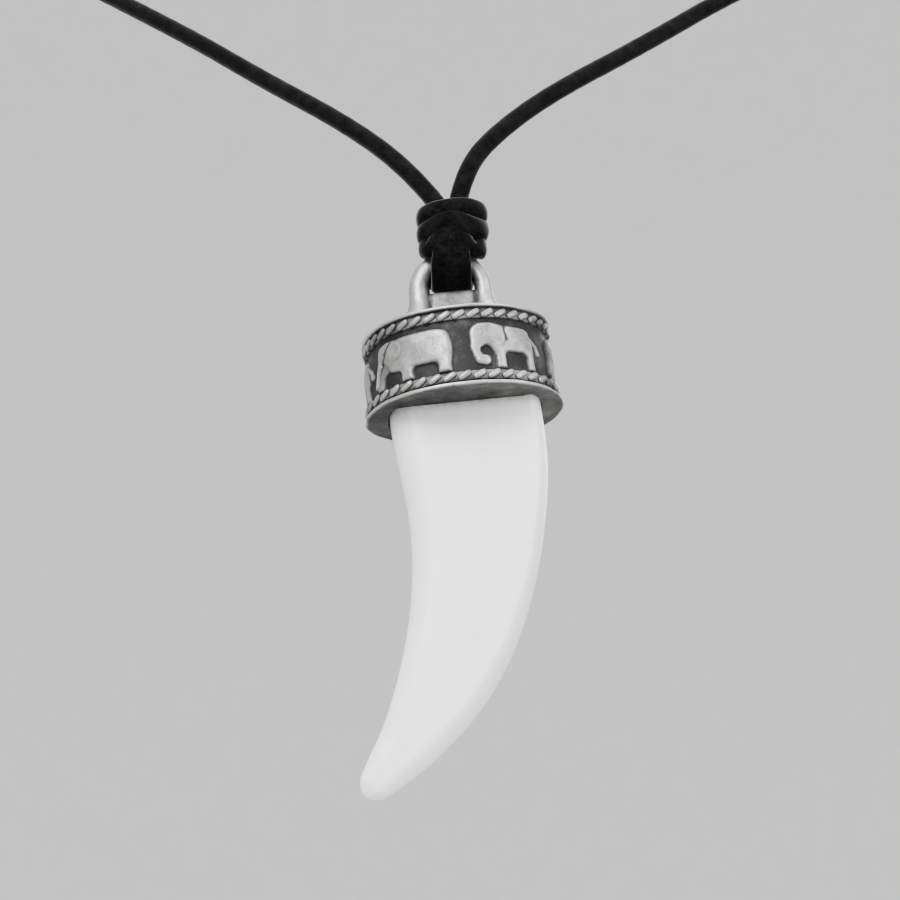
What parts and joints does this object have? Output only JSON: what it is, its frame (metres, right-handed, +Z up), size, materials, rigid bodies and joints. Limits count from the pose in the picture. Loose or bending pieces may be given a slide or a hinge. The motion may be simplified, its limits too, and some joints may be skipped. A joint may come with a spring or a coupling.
{
  "type": "tooth necklace",
  "caption": "Curved tooth in a cast cap with a raised elephant frieze, hung by its bail from a knotted waxed neck cord.",
  "frame": {"origin": "where the clasp rests on the nape of the neck", "axes": "+Z up, the pendant hangs in front towards -Y, +X to the viewer's right from the front"},
  "size_m": [0.1348, 0.1486, 0.1596],
  "materials": {
    "tooth": "polished bone-like, off-white",
    "cast_metal": "cast white metal, darkened in its recesses",
    "cord": "black waxed cotton",
    "clasp_metal": "satin white metal"
  },
  "bodies": {
    "necklace": {"front_knot": "cord", "cord_left": "cord", "cord_right": "cord", "neck_cord_left": "cord", "neck_cord_right": "cord", "nape_clasp": "clasp_metal"},
    "pendant": {"cap": "cast_metal", "tooth": "tooth"}
  },
  "joints": [
    {"name": "pendant_swing", "type": "hinge", "parent": "necklace", "child": "pendant", "pos_m": [0, -0.134, -0.102], "axis": [0.9945, 0, 0.1045], "range_deg": [-30, 30]}
  ]
}
